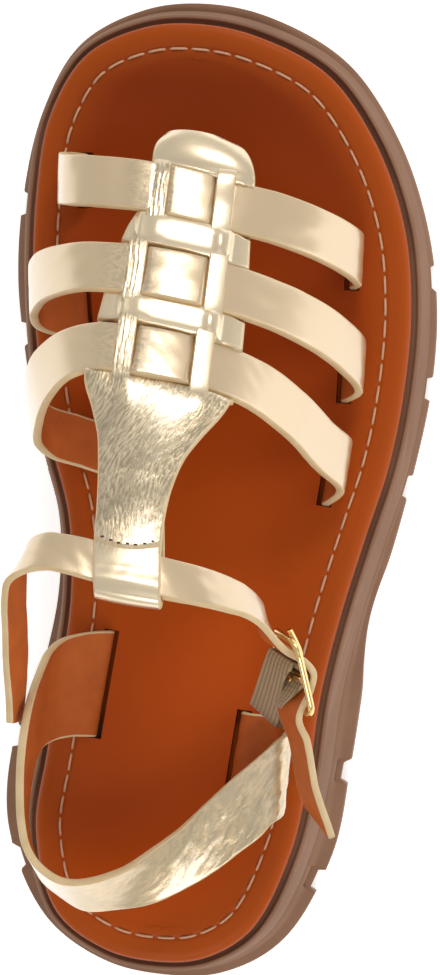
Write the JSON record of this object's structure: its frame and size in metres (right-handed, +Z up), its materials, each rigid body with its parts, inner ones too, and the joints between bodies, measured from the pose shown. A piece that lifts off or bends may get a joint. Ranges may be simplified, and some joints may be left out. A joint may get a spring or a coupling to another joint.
{
  "type": "gladiator sandal",
  "caption": "Gladiator sandal for the right foot: cross straps woven through a raised spine, heel band, buckled ankle strap, leather footbed, lugged platform sole.",
  "frame": {"origin": "on the ground under the middle of the outsole", "axes": "+Y to the toe, +X to the outer (buckle) side, +Z up"},
  "size_m": [0.1099, 0.2501, 0.1013],
  "materials": {
    "rubber_taupe": "matt moulded",
    "leather_tan": "smooth, waxed",
    "leather_gold": "metallic foil, finely wrinkled",
    "buckle_gold": "polished",
    "elastic_taupe": "ribbed elastic"
  },
  "bodies": {
    "root": {"outsole": "rubber_taupe", "footbed": "leather_tan", "vamp": "leather_gold", "heel_strap": "leather_gold", "ankle_strap": "leather_gold", "buckle_frame": "buckle_gold", "buckle_prong": "buckle_gold", "buckle_holder": "elastic_taupe"}
  },
  "joints": []
}
